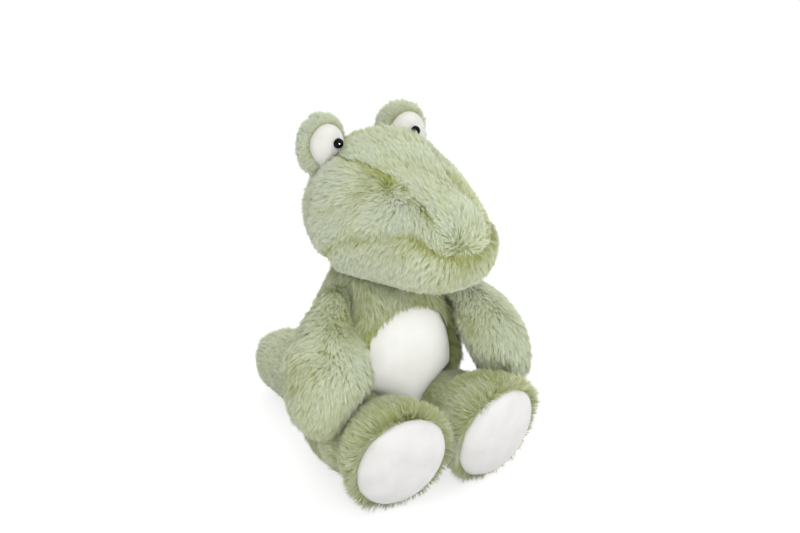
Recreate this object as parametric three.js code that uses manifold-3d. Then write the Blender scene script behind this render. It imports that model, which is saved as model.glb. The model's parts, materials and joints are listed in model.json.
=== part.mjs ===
// Sitting plush crocodile: long-pile fabric panels sewn over fibre filling, with a white short-pile
// belly, soles and eye faces, and moulded safety eyes.
// Millimetres, +Z up. The toy faces -Y, its left is +X, and the origin is on the flat seat.
import * as THREE from "three";
import { mergeVertices } from "three/addons/utils/BufferGeometryUtils.js";
import Module from "manifold-3d";

const wasm = await Module();
wasm.setup();

// Fabric, seams and filling
const pileWall = 8; // long-pile fabric with its standing pile
const shortPileDrop = 2; // the white fabric lies this far below the long pile
const seamGap = 0.4; // between two panels along a seam
const fillGap = 1; // between fabric and filling
const jointGap = 1.6; // around the round root of a limb in its seat

// Body: sections going up from the flat seat, each with its rise above the last and its shift to the back
const seat = { rise: 0, width: 78, depth: 62, back: 4 };
const rump = { rise: 12, width: 104, depth: 83, back: 3 };
const hips = { rise: 28, width: 131, depth: 100, back: 0 };
const waist = { rise: 40, width: 132, depth: 98, back: -2 };
const chest = { rise: 40, width: 114, depth: 88, back: -3 };
const collar = { rise: 30, width: 84, depth: 72, back: -2 };
const neck = { rise: 21, width: 56, depth: 52, back: 0 };
const bodySquareness = 2.4;
const neckRoom = 2; // around the neck in the opening of the head

// White belly, an egg outline seen from the front
const bellyWidth = 89;
const bellyHeight = 92;
const bellyRise = 18; // of its middle above the waist
const bellyAcross = 3; // sewn in a little to the left
const bellyAhead = 25; // the panel stays this far in front of the axis of the body

// Head: sections going forward from the back of the head, each with its rise above the middle of the crown
const headLift = 43; // middle of the crown above the neck
const headBack = { forward: -22, width: 100, depth: 96, rise: -1 };
const headCrown = { forward: 6, width: 119, depth: 112, rise: 0 };
const headCheek = { forward: 36, width: 115, depth: 105, rise: -2 };
const headMuzzle = { forward: 66, width: 98, depth: 87, rise: -8 };
const headNose = { forward: 93, width: 83, depth: 72, rise: -10.5 };
const headBackRound = 26;
const headNoseRound = 22;
const headSquareness = 2.1;
const headTaper = 0.12; // share of its width that a section loses towards the top and gains at the jaw

// Seams of the head, the heights measured down from the middle of the crown
const gussetBackWidth = 20;
const gussetCrownWidth = 68;
const gussetNoseWidth = 37;
const gussetLowEdge = 24;
const mouthCheek = 13;
const mouthMuzzle = 4;
const mouthCorner = -5; // where the mouth turns round the nose
const mouthFront = 13;
const jawBack = 22; // behind the neck axis

// Eye mounds with their white faces and safety eyes, each set by how far it lies below the top of the head
const moundWidth = 41;
const moundDepth = 42;
const moundHeight = 54;
const moundWall = 6;
const mound = { across: 37.5, back: 18.5, below: 10 };
const eyeFaceWidth = 33;
const eyeFaceHeight = 36;
const eyeFace = { across: 38, below: 7.5, ahead: 6 };
const leftEyeWider = 5; // the left mound and its face, towards the middle of the head
const eyeDiameter = 8;
const eyeDome = 3.7;
const eye = { across: 35, below: 4.6 };
const postDiameter = 4;
const postLength = 9;
const washerDiameter = 12;
const washerThickness = 1.2;
const postRoom = 0.3;

// Arms: flat mittens hung from the shoulder seam, their flat sides turned out and forward
const shoulder = { across: 46, forward: 8, below: 26 }; // below the neck
const armFacing = 40; // degrees from straight sideways to the front
const upperArm = { out: 0, drop: 0, ahead: 0, width: 33, depth: 33 };
const armpit = { out: 7, drop: 9, ahead: 1, width: 36, depth: 30 };
const elbow = { out: 20, drop: 24, ahead: 1, width: 54, depth: 44 };
const wrist = { out: 34, drop: 46, ahead: 6.5, width: 69, depth: 48 };
const hand = { out: 40, drop: 70, ahead: 11, width: 69, depth: 45 };
const handRound = 24;
const armRoom = 1; // between a hanging arm and the body
const leftArmSpread = 15; // degrees lifted away from the body
const rightArmSpread = 4;

// Legs: round root in the front of the body, widening to the upright sole
const hipJoint = { across: 42, forward: 40, height: 43 };
const thigh = { across: 42, forward: 56, height: 44, width: 60, depth: 60 };
const ankle = { across: 43, forward: 83.5, height: 48, width: 84, depth: 86 };
const foot = { across: 44.7, forward: 98.5, height: 43.5, width: 83, depth: 91 };
const legRoot = 66;
const soleRound = 7;
const soleWidth = 78;
const soleHeight = 86;
const legLift = 12; // degrees that a leg can be lifted beside the arm

// Tail on the floor behind the seat
const tailRoot = { back: 58, height: 33, width: 62, depth: 62 };
const tailPinch = { back: 74, height: 33.5, width: 58, depth: 60 };
const tailMiddle = { back: 112, height: 34, width: 58, depth: 62 };
const tailEnd = { back: 152, height: 31, width: 47, depth: 55 };
const tailRound = 25;

const far = 400;
const upward = new THREE.Vector3(0, 0, 1);
const sideways = new THREE.Vector3(1, 0, 0);
const backward = new THREE.Vector3(0, 1, 0);
const bothSides = [[1, "left"], [-1, "right"]];

// A closed geometry as a solid that can be joined and cut.
function solid(geometry) {
  const bare = geometry.clone();
  bare.deleteAttribute("normal");
  bare.deleteAttribute("uv");
  const merged = mergeVertices(bare, 0.0005);
  const corners = merged.index.array;
  const triangles = [];
  for (let i = 0; i < corners.length; i += 3) {
    const [a, b, c] = corners.slice(i, i + 3);
    if (a !== b && b !== c && c !== a) triangles.push(a, b, c);
  }
  return new wasm.Manifold(new wasm.Mesh({
    numProp: 3,
    vertProperties: new Float32Array(merged.attributes.position.array),
    triVerts: new Uint32Array(triangles),
  }));
}

// A stuffed form: rounded sections along a spine, closed by round ends. The sections stand square to the
// spine, or to `axis` if it is given, and `taper` narrows them upwards. The inset shrinks it.
function stuffed(form, inset) {
  const { sections, axis, wideAxis, startRound, endRound, sides, steps } = form;
  const { squareness = 2, taper = 0 } = form;
  const spine = new THREE.CatmullRomCurve3(sections.map((s) => s.at), false, "catmullrom");
  const halfSizes = sections.map((s) => new THREE.Vector3(s.width / 2, s.depth / 2, 0));
  const sizes = new THREE.CatmullRomCurve3(halfSizes, false, "catmullrom");
  const positions = [];
  const index = [];

  function place(t, along, shrink) {
    const tangent = axis ?? spine.getTangent(t);
    const centre = spine.getPoint(t).addScaledVector(tangent, along);
    const wide = wideAxis.clone().addScaledVector(tangent, -wideAxis.dot(tangent)).normalize();
    const thick = tangent.clone().cross(wide);
    const half = sizes.getPoint(t).addScalar(-inset).multiplyScalar(shrink);
    return { centre, wide, thick, half };
  }

  function addRing(t, along, shrink) {
    const { centre, wide, thick, half } = place(t, along, shrink);
    for (let j = 0; j < sides; j++) {
      const angle = (2 * Math.PI * j) / sides;
      const across = Math.sign(Math.cos(angle)) * Math.abs(Math.cos(angle)) ** (2 / squareness);
      const over = Math.sign(Math.sin(angle)) * Math.abs(Math.sin(angle)) ** (2 / squareness);
      const narrowed = half.x * across * (1 - taper * over);
      const point = centre.clone().addScaledVector(wide, narrowed);
      positions.push(...point.addScaledVector(thick, half.y * over));
    }
  }

  const capRings = [0.75, 0.4];
  const startLength = startRound - inset;
  const endLength = endRound - inset;
  positions.push(...place(0, -startLength, 1).centre);
  let rings = 0;
  const addCap = (t, length, turns) => {
    for (const turn of turns) {
      const angle = (turn * Math.PI) / 2;
      addRing(t, length * Math.sin(angle), Math.cos(angle));
      rings += 1;
    }
  };
  if (startLength > 0.01) addCap(0, -startLength, capRings);
  for (let i = 0; i <= steps; i++) {
    const flatStart = i === 0 && startLength < 0 ? -startLength : 0;
    const flatEnd = i === steps && endLength < 0 ? endLength : 0;
    addRing(i / steps, flatStart + flatEnd, 1);
    rings += 1;
  }
  if (endLength > 0.01) addCap(1, endLength, [...capRings].reverse());
  positions.push(...place(1, endLength, 1).centre);

  const last = 1 + rings * sides;
  for (let j = 0; j < sides; j++) {
    const next = (j + 1) % sides;
    index.push(0, 1 + next, 1 + j);
    index.push(last, last - sides + j, last - sides + next);
    for (let i = 0; i < rings - 1; i++) {
      const low = 1 + i * sides;
      const high = low + sides;
      index.push(low + j, low + next, high + j);
      index.push(low + next, high + next, high + j);
    }
  }
  const geometry = new THREE.BufferGeometry();
  geometry.setAttribute("position", new THREE.Float32BufferAttribute(positions, 3));
  geometry.setIndex(index);
  return geometry;
}

// The inner face of a cover, and its filling, follow the form more coarsely than the outside.
function lining(form) {
  return { ...form, sides: form.sides / 2, steps: Math.ceil(form.steps / 2) };
}

// An egg-shaped solid about a point.
function ellipsoid(centre, halfWidth, halfDepth, halfHeight, round = 14) {
  const geometry = new THREE.SphereGeometry(1, round, Math.round(round * 0.6));
  return geometry.scale(halfWidth, halfDepth, halfHeight).translate(centre.x, centre.y, centre.z);
}

// A flat outline pushed along an axis, centred on a point.
function prism(shape, depth, right, up, centre, curveSegments = 3) {
  const geometry = new THREE.ExtrudeGeometry(shape, { depth, bevelEnabled: false, curveSegments });
  geometry.translate(0, 0, -depth / 2);
  const axes = new THREE.Matrix4().makeBasis(right, up, right.clone().cross(up));
  return geometry.applyMatrix4(axes.setPosition(centre));
}

function ellipse(halfWidth, halfHeight) {
  const shape = new THREE.Shape();
  shape.absellipse(0, 0, halfWidth, halfHeight, 0, 2 * Math.PI);
  return shape;
}

function slab(min, max) {
  const size = max.clone().sub(min);
  const middle = min.clone().add(max).divideScalar(2);
  return new THREE.BoxGeometry(size.x, size.y, size.z).translate(middle.x, middle.y, middle.z);
}

function piece(name, body, finish) {
  const { vertProperties, triVerts } = body.getMesh();
  const geometry = new THREE.BufferGeometry();
  geometry.setAttribute("position", new THREE.Float32BufferAttribute(vertProperties, 3));
  geometry.setIndex(Array.from(triVerts));
  geometry.computeVertexNormals();
  const mesh = new THREE.Mesh(geometry, finish());
  mesh.name = name;
  return mesh;
}

const longPile = () => new THREE.MeshStandardMaterial({ color: 0xb4bc98, roughness: 0.95, metalness: 0 });
const shortPile = () => new THREE.MeshStandardMaterial({ color: 0xecebe8, roughness: 0.9, metalness: 0 });
const fibre = () => new THREE.MeshStandardMaterial({ color: 0xf3f1ec, roughness: 1, metalness: 0 });
const eyeBlack = () => new THREE.MeshStandardMaterial({ color: 0x0a0a0b, roughness: 0.12, metalness: 0 });
const washerWhite = () => new THREE.MeshStandardMaterial({ color: 0xdad9d2, roughness: 0.5, metalness: 0 });

// Height of a section of the body above the floor
const bodySections = [seat, rump, hips, waist, chest, collar, neck];
function heightOf(section) {
  const upToIt = bodySections.slice(0, bodySections.indexOf(section) + 1);
  return upToIt.reduce((height, s) => height + s.rise, 0);
}

const neckHeight = heightOf(neck);
const headMiddle = neckHeight + headLift;

// Forms of the body and the limbs
const bodyForm = {
  sections: bodySections.map((s) => (
    { at: new THREE.Vector3(0, s.back, heightOf(s)), width: s.width, depth: s.depth }
  )),
  axis: upward,
  wideAxis: sideways,
  startRound: 0,
  endRound: 0,
  squareness: bodySquareness,
  sides: 22,
  steps: 8,
};

const headForm = {
  sections: [headBack, headCrown, headCheek, headMuzzle, headNose].map((s) => (
    { at: new THREE.Vector3(0, -s.forward, headMiddle + s.rise), width: s.width, depth: s.depth }
  )),
  axis: backward.clone().negate(),
  wideAxis: sideways,
  startRound: headBackRound,
  endRound: headNoseRound,
  squareness: headSquareness,
  taper: headTaper,
  sides: 24,
  steps: 8,
};

function legForm(side) {
  const root = { ...hipJoint, width: legRoot, depth: legRoot };
  return {
    sections: [root, thigh, ankle, foot].map((s) => (
      { at: new THREE.Vector3(side * s.across, -s.forward, s.height), width: s.width, depth: s.depth }
    )),
    wideAxis: sideways,
    startRound: legRoot / 2,
    endRound: soleRound,
    sides: 18,
    steps: 5,
  };
}

const tailForm = {
  sections: [tailRoot, tailPinch, tailMiddle, tailEnd].map((s) => (
    { at: new THREE.Vector3(0, s.back, s.height), width: s.width, depth: s.depth }
  )),
  wideAxis: sideways,
  startRound: tailRoot.width / 2,
  endRound: tailRound,
  sides: 16,
  steps: 4,
};

// The flat of an arm looks along `out`; its width, and the shoulder hinge, run along `ahead`.
function armAxes(side) {
  const turn = THREE.MathUtils.degToRad(armFacing);
  const out = new THREE.Vector3(side * Math.cos(turn), -Math.sin(turn), 0);
  const ahead = new THREE.Vector3(-side * Math.sin(turn), -Math.cos(turn), 0);
  const root = new THREE.Vector3(side * shoulder.across, -shoulder.forward, neckHeight - shoulder.below);
  return { out, ahead, root };
}

const armSections = [upperArm, armpit, elbow, wrist, hand];

function armForm(side) {
  const { out, ahead, root } = armAxes(side);
  const place = (s) => {
    const level = root.clone().addScaledVector(out, s.out).addScaledVector(ahead, s.ahead);
    return level.addScaledVector(upward, -s.drop);
  };
  return {
    sections: armSections.map((s) => ({ at: place(s), width: s.width, depth: s.depth })),
    wideAxis: ahead,
    startRound: upperArm.depth / 2,
    endRound: handRound,
    sides: 14,
    steps: 6,
  };
}

// Round seats that the roots of the limbs leave in the body
function rootBall(side, grow, round) {
  const { ahead, root } = armAxes(side);
  const half = upperArm.depth / 2 + grow;
  const ball = ellipsoid(new THREE.Vector3(), upperArm.width / 2 + grow, half, half, round);
  return ball.rotateZ(Math.atan2(ahead.y, ahead.x)).translate(root.x, root.y, root.z);
}

function seats(grow, round) {
  const parts = [];
  for (const side of [1, -1]) {
    const hipRadius = legRoot / 2 + grow;
    parts.push(ellipsoid(hipPlace(side), hipRadius, hipRadius, hipRadius, round));
    parts.push(rootBall(side, grow, round));
  }
  const tailRadius = tailRoot.width / 2 + grow;
  const tailPlace = new THREE.Vector3(0, tailRoot.back, tailRoot.height);
  parts.push(ellipsoid(tailPlace, tailRadius, tailRadius, tailRadius, round));
  return parts.map(solid).reduce((all, part) => all.add(part));
}

function bodySolid(inset, form = bodyForm) {
  return solid(stuffed(form, inset)).subtract(seats(jointGap + inset, Math.round(form.sides * 0.7)));
}

function hipPlace(side) {
  return new THREE.Vector3(side * hipJoint.across, -hipJoint.forward, hipJoint.height);
}

// Room for the neck in the head, round about the axis that the head turns on
function neckOpening(grow) {
  const profile = [
    new THREE.Vector2(0, heightOf(chest)),
    new THREE.Vector2(chest.width / 2 + grow, heightOf(chest)),
    new THREE.Vector2(collar.width / 2 + grow, heightOf(collar)),
    new THREE.Vector2(neck.width / 2 + grow, neckHeight + jointGap),
    new THREE.Vector2(0, neckHeight + jointGap),
  ];
  return solid(new THREE.LatheGeometry(profile, 24).rotateX(Math.PI / 2));
}

function headSolid(inset, form = headForm) {
  return solid(stuffed(form, inset));
}

const toy = new THREE.Group();
toy.name = "plush_crocodile";

// Body
const bodyOuter = bodySolid(0);
const bodyInner = bodySolid(pileWall, lining(bodyForm));
const bellyPlace = new THREE.Vector3(bellyAcross, -bellyAhead - far / 2, heightOf(waist) + bellyRise);
const toFront = (halfWidth, halfHeight, place) => (
  solid(prism(ellipse(halfWidth, halfHeight), far, sideways, upward, place, 9))
);
const bellyWindow = toFront(bellyWidth / 2, bellyHeight / 2, bellyPlace);
const bellyHole = toFront(bellyWidth / 2 + seamGap, bellyHeight / 2 + seamGap, bellyPlace);
const bellyCloth = bodySolid(shortPileDrop).subtract(bodyInner);
toy.add(piece("body_cover", bodyOuter.subtract(bodyInner).subtract(bellyHole), longPile));
toy.add(piece("belly_panel", bellyCloth.intersect(bellyWindow), shortPile));
toy.add(piece("body_filling", bodySolid(pileWall + fillGap, lining(bodyForm)), fibre));

// Head: the mouth line parts the jaw from the rest, and the gusset runs over the crown to the nose
function belowMouth(lower) {
  const front = headMiddle - mouthFront - lower;
  const corner = headMiddle - mouthCorner - lower;
  const muzzle = headMiddle - mouthMuzzle - lower;
  const cheek = headMiddle - mouthCheek - lower;
  const collarHeight = heightOf(collar);
  const shape = new THREE.Shape();
  shape.moveTo(-far, front);
  shape.lineTo(-headNose.forward - headNoseRound, front);
  shape.splineThru([
    new THREE.Vector2(-headNose.forward, corner),
    new THREE.Vector2(-headMuzzle.forward, muzzle),
    new THREE.Vector2(-headCheek.forward, cheek),
    new THREE.Vector2(0, (collarHeight + cheek - lower) / 2),
    new THREE.Vector2(jawBack - lower, collarHeight),
  ]);
  shape.lineTo(jawBack - lower, 0);
  shape.lineTo(-far, 0);
  shape.closePath();
  const origin = new THREE.Vector3();
  return solid(prism(shape, far, backward, upward, origin));
}

function gussetBand(grow) {
  const halfBack = gussetBackWidth / 2 + grow;
  const halfCrown = gussetCrownWidth / 2 + grow;
  const halfNose = gussetNoseWidth / 2 + grow;
  const backEnd = -headBack.forward + headBackRound + pileWall;
  const edge = new THREE.SplineCurve([
    new THREE.Vector2(halfBack, backEnd),
    new THREE.Vector2(halfCrown, -headCrown.forward),
    new THREE.Vector2(halfNose, -headMuzzle.forward),
    new THREE.Vector2(halfNose, -headNose.forward - headNoseRound - pileWall),
  ]).getPoints(8);
  const shape = new THREE.Shape([...edge, ...edge.map((p) => new THREE.Vector2(-p.x, p.y)).reverse()]);
  const middle = new THREE.Vector3(0, 0, headMiddle - gussetLowEdge - grow + far / 2);
  return solid(prism(shape, far, sideways, backward, middle));
}

function halfSpace(side, gap) {
  const near = side * gap;
  const min = new THREE.Vector3(Math.min(near, side * far), -far, -far);
  const max = new THREE.Vector3(Math.max(near, side * far), far, far);
  return solid(slab(min, max));
}

const headInner = headSolid(pileWall, lining(headForm));
const headShell = headSolid(0).subtract(headInner).subtract(neckOpening(neckRoom));
const upperHead = headShell.subtract(belowMouth(-seamGap / 2));
const headSides = upperHead.subtract(gussetBand(seamGap));
const headFilling = headSolid(pileWall + fillGap, lining(headForm)).subtract(neckOpening(neckRoom));
toy.add(piece("head_gusset", upperHead.intersect(gussetBand(0)), longPile));
toy.add(piece("head_side_left", headSides.intersect(halfSpace(1, seamGap / 2)), longPile));
toy.add(piece("head_side_right", headSides.intersect(halfSpace(-1, seamGap / 2)), longPile));
toy.add(piece("jaw_panel", headShell.intersect(belowMouth(seamGap / 2)), longPile));
toy.add(piece("head_filling", headFilling, fibre));

// Eye mounds, seated on the crown
const crown = headSolid(-seamGap);
const crownTop = headMiddle + headCrown.rise + headCrown.depth / 2;
for (const [side, label] of bothSides) {
  const wider = side > 0 ? leftEyeWider : 0;
  const halfMound = (moundWidth + wider) / 2;
  const halfFace = (eyeFaceWidth + wider) / 2;
  const across = mound.across - wider / 2;
  const middle = new THREE.Vector3(side * across, mound.back, crownTop - mound.below);
  const moundSolid = (inset) => (
    solid(ellipsoid(middle, halfMound - inset, moundDepth / 2 - inset, moundHeight / 2 - inset))
  );
  const faceMiddle = mound.back - eyeFace.ahead - far / 2;
  const faceAcross = eyeFace.across - wider / 2;
  const facePlace = new THREE.Vector3(side * faceAcross, faceMiddle, crownTop - eyeFace.below);
  const faceWindow = toFront(halfFace, eyeFaceHeight / 2, facePlace);
  const faceHole = toFront(halfFace + seamGap, eyeFaceHeight / 2 + seamGap, facePlace);

  // The eye looks forward; its post goes back through the white face and the washer.
  const level = Math.hypot(
    (eye.across - across) / halfMound,
    (mound.below - eye.below) / (moundHeight / 2),
  );
  const faceFront = mound.back - (moundDepth / 2) * Math.sqrt(1 - level ** 2) + shortPileDrop;
  const eyePlace = new THREE.Vector3(side * eye.across, faceFront, crownTop - eye.below);
  const domeProfile = [new THREE.Vector2(0, eyeDome)];
  for (let i = 1; i <= 4; i++) {
    const angle = (Math.PI / 2) * (i / 4);
    domeProfile.push(new THREE.Vector2((eyeDiameter / 2) * Math.sin(angle), eyeDome * Math.cos(angle)));
  }
  const postRadius = postDiameter / 2;
  const eyeProfile = [
    ...domeProfile,
    new THREE.Vector2(eyeDiameter / 2 - 0.4, -0.6),
    new THREE.Vector2(postRadius, -0.6),
    new THREE.Vector2(postRadius, -postLength),
    new THREE.Vector2(0, -postLength),
  ].reverse();
  const forward = (profile) => {
    const bead = new THREE.LatheGeometry(profile, 14).rotateX(Math.PI);
    return solid(bead.translate(eyePlace.x, eyePlace.y, eyePlace.z));
  };
  const socket = forward([
    new THREE.Vector2(0, -far / 10),
    new THREE.Vector2(postRadius + postRoom, -far / 10),
    new THREE.Vector2(postRadius + postRoom, -0.6 - postRoom),
    new THREE.Vector2(eyeDiameter / 2 + postRoom, -0.6 - postRoom),
    new THREE.Vector2(eyeDiameter / 2 + postRoom, far / 10),
    new THREE.Vector2(0, far / 10),
  ]);
  const washerFront = -(moundWall - shortPileDrop) - 0.6;
  const washerBack = washerFront - washerThickness;
  const washerRadius = washerDiameter / 2;
  const washer = forward([
    new THREE.Vector2(postRadius + postRoom / 2, washerBack),
    new THREE.Vector2(washerRadius, washerBack),
    new THREE.Vector2(washerRadius, washerFront),
    new THREE.Vector2(postRadius + postRoom / 2, washerFront),
    new THREE.Vector2(postRadius + postRoom / 2, washerBack),
  ]);
  const washerSeat = forward([
    new THREE.Vector2(0, -far / 10),
    new THREE.Vector2(washerRadius + postRoom, -far / 10),
    new THREE.Vector2(washerRadius + postRoom, washerFront + postRoom),
    new THREE.Vector2(0, washerFront + postRoom),
  ]);
  const washerRoom = forward([
    new THREE.Vector2(0, washerBack - fillGap),
    new THREE.Vector2(washerRadius + fillGap, washerBack - fillGap),
    new THREE.Vector2(washerRadius + fillGap, far / 10),
    new THREE.Vector2(0, far / 10),
  ]);
  const postRoomBehind = forward([
    new THREE.Vector2(0, -postLength - fillGap),
    new THREE.Vector2(postRadius + fillGap, -postLength - fillGap),
    new THREE.Vector2(postRadius + fillGap, 0),
    new THREE.Vector2(0, 0),
  ]);
  const faceCloth = moundSolid(shortPileDrop).subtract(moundSolid(moundWall));
  const face = faceCloth.intersect(faceWindow).subtract(socket).subtract(washerSeat);
  const moundBack = moundSolid(0).subtract(moundSolid(moundWall)).subtract(faceHole);
  const moundFilling = moundSolid(moundWall + fillGap).subtract(washerRoom).subtract(postRoomBehind);
  toy.add(piece(`eye_mound_${label}`, moundBack.subtract(crown), longPile));
  toy.add(piece(`eye_face_${label}`, face.subtract(crown), shortPile));
  toy.add(piece(`eye_filling_${label}`, moundFilling.subtract(crown), fibre));
  toy.add(piece(`eye_bead_${label}`, forward(eyeProfile), eyeBlack));
  toy.add(piece(`eye_washer_${label}`, washer, washerWhite));
}

// Everything below the floor that the toy sits on
const underFloor = solid(slab(new THREE.Vector3(-far, -far, -far), new THREE.Vector3(far, far, 0)));

// Legs, each closed by its white sole
for (const [side, label] of bothSides) {
  const form = legForm(side);
  const legSolid = (inset) => (
    solid(stuffed(inset < pileWall ? form : lining(form), inset)).subtract(underFloor)
  );
  const end = form.sections.at(-1).at;
  const spine = new THREE.CatmullRomCurve3(form.sections.map((s) => s.at), false, "catmullrom");
  const outward = spine.getTangent(1);
  const right = sideways.clone().addScaledVector(outward, -sideways.dot(outward)).normalize();
  const up = right.clone().cross(outward);
  const soleWindow = (grow) => {
    const middle = end.clone().addScaledVector(outward, soleRound - pileWall - grow + far / 2);
    return solid(prism(ellipse(soleWidth / 2 + grow, soleHeight / 2 + grow), far, right, up, middle, 9));
  };
  const legInner = legSolid(pileWall);
  const legShell = legSolid(0).subtract(legInner);
  toy.add(piece(`leg_cover_${label}`, legShell.subtract(soleWindow(seamGap)), longPile));
  const soleCloth = legSolid(shortPileDrop).subtract(legInner);
  toy.add(piece(`sole_${label}`, soleCloth.intersect(soleWindow(0)), shortPile));
  toy.add(piece(`leg_filling_${label}`, legSolid(pileWall + fillGap), fibre));
}

// Arms: made hanging close to the body, then lifted by their spread about the shoulder seam
function outsideOfArm(side, shift) {
  const [top, ...rest] = armSections.map((s) => new THREE.Vector2(s.out + shift, -s.drop));
  const [before, last] = rest.slice(-2);
  const beyond = last.clone().add(last.clone().sub(before).multiplyScalar(4));
  const shape = new THREE.Shape();
  shape.moveTo(top.x, far / 2);
  shape.lineTo(top.x, top.y);
  shape.splineThru(rest);
  shape.lineTo(beyond.x, beyond.y);
  shape.lineTo(far, beyond.y);
  shape.lineTo(far, far / 2);
  shape.closePath();
  const { out, root } = armAxes(side);
  return solid(prism(shape, far / 2, out, upward, root));
}

// The body as an arm meets it, with the seat of the shoulder left open
function bodyBeside(side, grow) {
  const form = grow > pileWall ? lining(bodyForm) : bodyForm;
  const opening = solid(rootBall(side, jointGap / 2 + armRoom - grow, 14));
  return solid(stuffed(form, -grow)).subtract(opening);
}

// A turn about a point
function turnAbout(place, axis, degrees) {
  const turn = new THREE.Matrix4().makeRotationAxis(axis, THREE.MathUtils.degToRad(degrees));
  const there = new THREE.Matrix4().makeTranslation(place.x, place.y, place.z);
  const back = new THREE.Matrix4().makeTranslation(-place.x, -place.y, -place.z);
  return there.multiply(turn).multiply(back);
}

// The leg beside an arm, lying and lifted, as it meets the arm before the arm is spread
function legBeside(side, spread, grow) {
  const { ahead, root } = armAxes(side);
  const toHanging = turnAbout(root, ahead, -side * spread);
  const turns = [0, legLift].map((lift) => {
    const lifted = turnAbout(hipPlace(side), sideways, -lift);
    const form = grow > pileWall ? lining(legForm(side)) : legForm(side);
    return solid(stuffed(form, -grow).applyMatrix4(toHanging.clone().multiply(lifted)));
  });
  return turns[0].add(turns[1]);
}

const armSpread = { left: leftArmSpread, right: rightArmSpread };
for (const [side, label] of bothSides) {
  const form = armForm(side);
  const { ahead, root } = armAxes(side);
  const armSolid = (inset) => (
    solid(stuffed(inset < pileWall ? form : lining(form), inset))
      .subtract(bodyBeside(side, armRoom + inset))
      .subtract(legBeside(side, armSpread[label], armRoom + inset))
  );
  const shell = armSolid(0).subtract(armSolid(pileWall));
  const pieces = [
    piece(`arm_outer_${label}`, shell.intersect(outsideOfArm(side, seamGap / 2)), longPile),
    piece(`arm_inner_${label}`, shell.subtract(outsideOfArm(side, -seamGap / 2)), longPile),
    piece(`arm_filling_${label}`, armSolid(pileWall + fillGap), fibre),
  ];
  const hanger = new THREE.Group();
  hanger.name = `arm_${label}`;
  hanger.position.copy(root);
  hanger.quaternion.setFromAxisAngle(ahead, side * THREE.MathUtils.degToRad(armSpread[label]));
  for (const mesh of pieces) {
    mesh.position.copy(root).negate();
    hanger.add(mesh);
  }
  toy.add(hanger);
}

// Tail, two panels meeting along the back
const tailSolid = (inset) => (
  solid(stuffed(inset < pileWall ? tailForm : lining(tailForm), inset)).subtract(underFloor)
);
const tailShell = tailSolid(0).subtract(tailSolid(pileWall));
for (const [side, label] of bothSides) {
  toy.add(piece(`tail_${label}`, tailShell.intersect(halfSpace(side, seamGap / 2)), longPile));
}
toy.add(piece("tail_filling", tailSolid(pileWall + fillGap), fibre));

export default toy;
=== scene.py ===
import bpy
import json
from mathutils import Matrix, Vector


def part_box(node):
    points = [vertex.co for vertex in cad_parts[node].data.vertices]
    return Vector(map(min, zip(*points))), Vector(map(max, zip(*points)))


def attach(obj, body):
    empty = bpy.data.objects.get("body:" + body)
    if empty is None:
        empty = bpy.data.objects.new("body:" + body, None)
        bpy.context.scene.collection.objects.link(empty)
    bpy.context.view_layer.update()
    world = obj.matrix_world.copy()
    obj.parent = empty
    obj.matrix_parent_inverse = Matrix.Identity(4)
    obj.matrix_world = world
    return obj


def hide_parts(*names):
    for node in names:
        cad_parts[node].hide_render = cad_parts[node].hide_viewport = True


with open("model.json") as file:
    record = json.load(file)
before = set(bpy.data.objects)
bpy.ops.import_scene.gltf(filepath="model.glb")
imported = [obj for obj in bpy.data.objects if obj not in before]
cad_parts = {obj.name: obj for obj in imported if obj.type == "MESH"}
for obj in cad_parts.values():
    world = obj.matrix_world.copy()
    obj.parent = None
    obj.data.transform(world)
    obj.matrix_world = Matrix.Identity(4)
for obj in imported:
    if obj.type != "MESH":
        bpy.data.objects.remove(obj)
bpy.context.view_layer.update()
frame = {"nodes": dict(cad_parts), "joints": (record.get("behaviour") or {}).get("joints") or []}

import json
import math
from types import SimpleNamespace

import bpy
import numpy as np
from mathutils import Vector
from mathutils.bvhtree import BVHTree
from mathutils.kdtree import KDTree

mm = 0.001
scene = bpy.context.scene
scene.view_settings.view_transform = "Standard"
rng = np.random.default_rng(20)  # all the pile is drawn from this, piece after piece
bothSides = [(1, "left"), (-1, "right")]


# small helpers

def tint(red, green, blue):  # a colour as the eye reads it, 0 to 255, for a shader
    def linear(value):
        value = value / 255
        return value / 12.92 if value <= 0.04045 else ((value + 0.055) / 1.055) ** 2.4
    return (linear(red), linear(green), linear(blue), 1.0)


def grey(value):
    return (value, value, value, 1)


def unit(vectors):
    length = np.linalg.norm(vectors, axis=-1, keepdims=True)
    return vectors / np.maximum(length, 1e-9)


def dot(first, second):
    return (first * second).sum(1, keepdims=True)


def inCloth(vectors, normals):  # the direction of each vector along the cloth
    return unit(vectors - normals * dot(vectors, normals))


def smoothStep(value, low, high):
    t = np.clip((value - low) / (high - low), 0, 1)
    return t * t * (3 - 2 * t)


def blend(start, end, share):
    return start * (1 - share) + end * share


def bell(gap, reach):  # 1 at no gap, fading out over the reach
    return np.exp(-((gap / reach) ** 2))


def gapTo(points, place):
    return np.linalg.norm(points - np.array(place, float), axis=1, keepdims=True)


def near(points, place, reach):  # 1 at the place, fading out over the reach
    return bell(gapTo(points, place), reach)


def strongest(points, spots):  # the most that any spot gives, each a place, a reach and a strength
    return np.max([strength * near(points, place, reach) for place, reach, strength in spots], axis=0)


def away(points, place):  # the direction from the place to each point
    return unit(points - np.array(place, float))


def waves(points, size, seed, count=14):  # smooth wandering values round 0, three for each point
    own = np.random.default_rng(seed)
    directions = unit(own.normal(size=(count, 3)))
    lengths = size * own.uniform(0.7, 1.6, count)
    phases = own.uniform(0, 2 * math.pi, (3, count))
    angle = (points @ directions.T) * (2 * math.pi / lengths)
    return np.stack([np.sin(angle + phase).mean(1) for phase in phases], -1) * math.sqrt(count / 2)


def addPiece(name, data):
    piece = bpy.data.objects.new(name, data)
    scene.collection.objects.link(piece)
    return piece


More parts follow.
